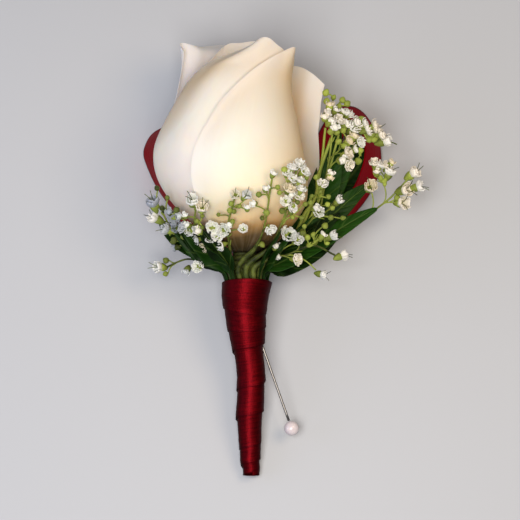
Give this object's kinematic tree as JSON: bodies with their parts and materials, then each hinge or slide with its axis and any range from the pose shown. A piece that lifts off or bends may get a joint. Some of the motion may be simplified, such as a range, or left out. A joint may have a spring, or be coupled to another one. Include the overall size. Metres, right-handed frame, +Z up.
{
  "type": "boutonniere",
  "caption": "Rose boutonniere: a half-open ivory rose bud with baby's breath, dark leaves and crimson ribbon loops, bound with satin ribbon and carrying a pearl-headed pin.",
  "frame": {"origin": "on the surface that the bunch lies on, under the middle of its bounding box", "axes": "+Y runs along the bunch from the stem's cut end to the flower, +X to the right of the bunch's face, +Z up, away from the surface it lies on"},
  "size_m": [0.0833, 0.1286, 0.0498],
  "materials": {
    "petal": "soft matt fresh petal, ivory to blush at the edges",
    "sepal": "matt green sepal",
    "stem": "satin green stem",
    "leaf": "glossy dark green leaf",
    "sprig": "matt white florets on light green stalks",
    "tape": "waxed crepe tape, dark green",
    "satin": "crimson satin ribbon with a soft sheen",
    "pearl": "pearlescent bead",
    "steel": "polished steel needle"
  },
  "bodies": {
    "root": {"floral_tape": "tape", "leaf_left": "leaf", "leaf_lower_right": "leaf", "leaf_upper_right": "leaf", "pin_head": "pearl", "pin_needle": "steel", "ribbon_loop_left": "satin", "ribbon_loop_right": "satin", "ribbon_wrap": "satin", "rose_heart": "petal", "rose_petal_01": "petal", "rose_petal_02": "petal", "rose_petal_03": "petal", "rose_petal_04": "petal", "rose_petal_05": "petal", "rose_petal_06": "petal", "rose_petal_07": "petal", "rose_petal_08": "petal", "rose_petal_09": "petal", "rose_petal_10": "petal", "rose_petal_11": "petal", "rose_petal_12": "petal", "rose_stem": "stem", "sepal_1": "sepal", "sepal_2": "sepal", "sepal_3": "sepal", "sepal_4": "sepal", "sepal_5": "sepal", "sprig_front_left": "sprig", "sprig_front_low": "sprig", "sprig_front_mid": "sprig", "sprig_front_right": "sprig", "sprig_left_low": "sprig", "sprig_left_mid": "sprig", "sprig_left_outer": "sprig", "sprig_right_far": "sprig", "sprig_right_high": "sprig", "sprig_right_low": "sprig", "sprig_right_mid": "sprig"}
  },
  "joints": []
}
